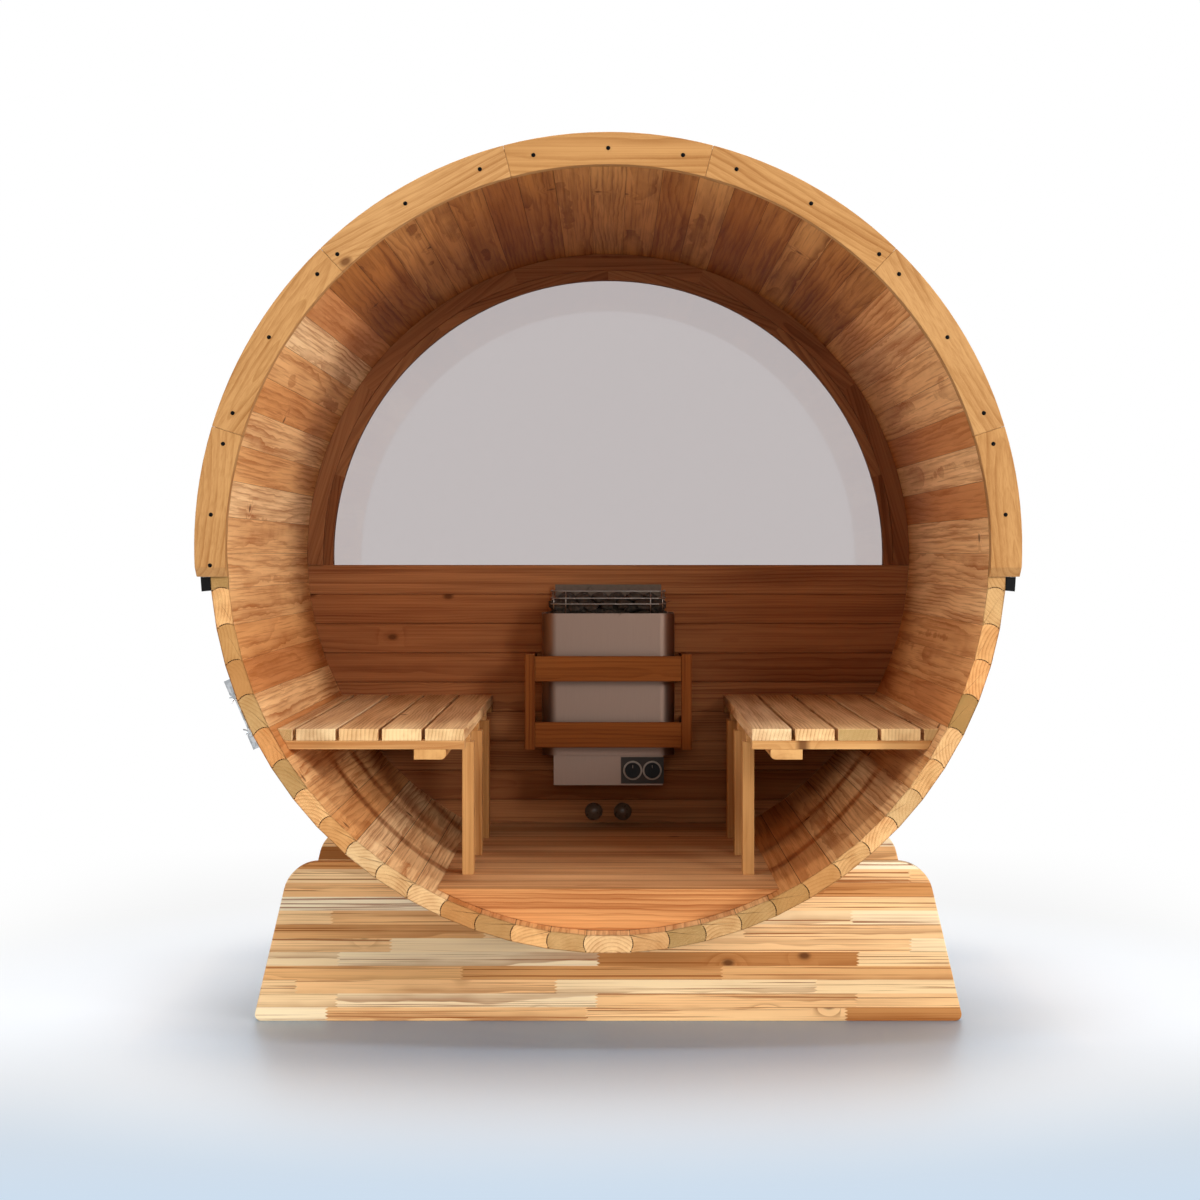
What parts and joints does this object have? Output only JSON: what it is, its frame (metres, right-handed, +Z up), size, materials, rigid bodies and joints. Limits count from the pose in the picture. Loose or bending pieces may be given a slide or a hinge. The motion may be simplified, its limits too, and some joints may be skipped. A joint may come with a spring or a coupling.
{
  "type": "barrel sauna",
  "caption": "Lying wooden barrel sauna on cradles with an open front, slanted canopies, slatted benches, a wall heater with stones and a half-moon rear window.",
  "frame": {"origin": "on the ground, under the middle of the sauna", "axes": "+X to the right seen from the open front, +Y from the open front to the window wall, +Z up"},
  "size_m": [1.889, 2.1906, 2.0925],
  "materials": {
    "stave_wood": "planed and oiled softwood",
    "trim_wood": "planed softwood",
    "cradle_wood": "glued laminated pine",
    "wall_wood": "planed softwood",
    "floor_wood": "planed softwood",
    "bench_wood": "planed softwood",
    "rail_wood": "planed softwood",
    "roof_felt": "matt black roofing felt",
    "galvanised_steel": "galvanised",
    "window_glass": "grey tinted",
    "heater_steel": "satin stainless",
    "guard_wire": "polished wire",
    "heater_stone": "rough split stone",
    "panel_plastic": "matt",
    "dial_plastic": "satin",
    "vent_bronze": "dark bronze"
  },
  "bodies": {
    "sauna": {"bottom_key_stave": "stave_wood", "top_key_stave": "stave_wood", "left_belly_staves": "stave_wood", "right_belly_staves": "stave_wood", "left_flank_staves": "stave_wood", "right_flank_staves": "stave_wood", "left_shoulder_staves": "stave_wood", "right_shoulder_staves": "stave_wood", "left_crown_staves": "stave_wood", "right_crown_staves": "stave_wood", "front_band": "galvanised_steel", "rear_band": "galvanised_steel", "band_tensioners": "galvanised_steel", "left_roof": "roof_felt", "right_roof": "roof_felt", "eave_bars": "roof_felt", "front_trim": "trim_wood", "rear_trim": "trim_wood", "front_cradle": "cradle_wood", "rear_cradle": "cradle_wood", "back_wall": "wall_wood", "window_casing": "wall_wood", "window_stop": "wall_wood", "window_glass": "window_glass", "window_outer_ring": "wall_wood", "floor_boards": "floor_wood", "floor_front_board": "floor_wood", "left_seat": "bench_wood", "right_seat": "bench_wood", "left_bearers": "bench_wood", "right_bearers": "bench_wood", "left_battens": "bench_wood", "right_battens": "bench_wood", "left_legs": "bench_wood", "right_legs": "bench_wood", "heater_shell": "heater_steel", "heater_base": "heater_steel", "heater_bracket": "heater_steel", "splash_plate": "heater_steel", "stones": "heater_stone", "stone_guard": "guard_wire", "control_panel": "panel_plastic", "rail_posts": "rail_wood", "rail_boards": "rail_wood", "vent_caps": "vent_bronze"},
    "timer": {"timer_dial": "dial_plastic"},
    "thermostat": {"thermostat_dial": "dial_plastic"}
  },
  "joints": [
    {"name": "timer_turn", "type": "hinge", "parent": "sauna", "child": "timer", "pos_m": [0.0687, 0.503, 0.544], "axis": [0, 1, 0], "range_deg": [0, 300]},
    {"name": "thermostat_turn", "type": "hinge", "parent": "sauna", "child": "thermostat", "pos_m": [0.1233, 0.503, 0.544], "axis": [0, 1, 0], "range_deg": [0, 270]}
  ]
}
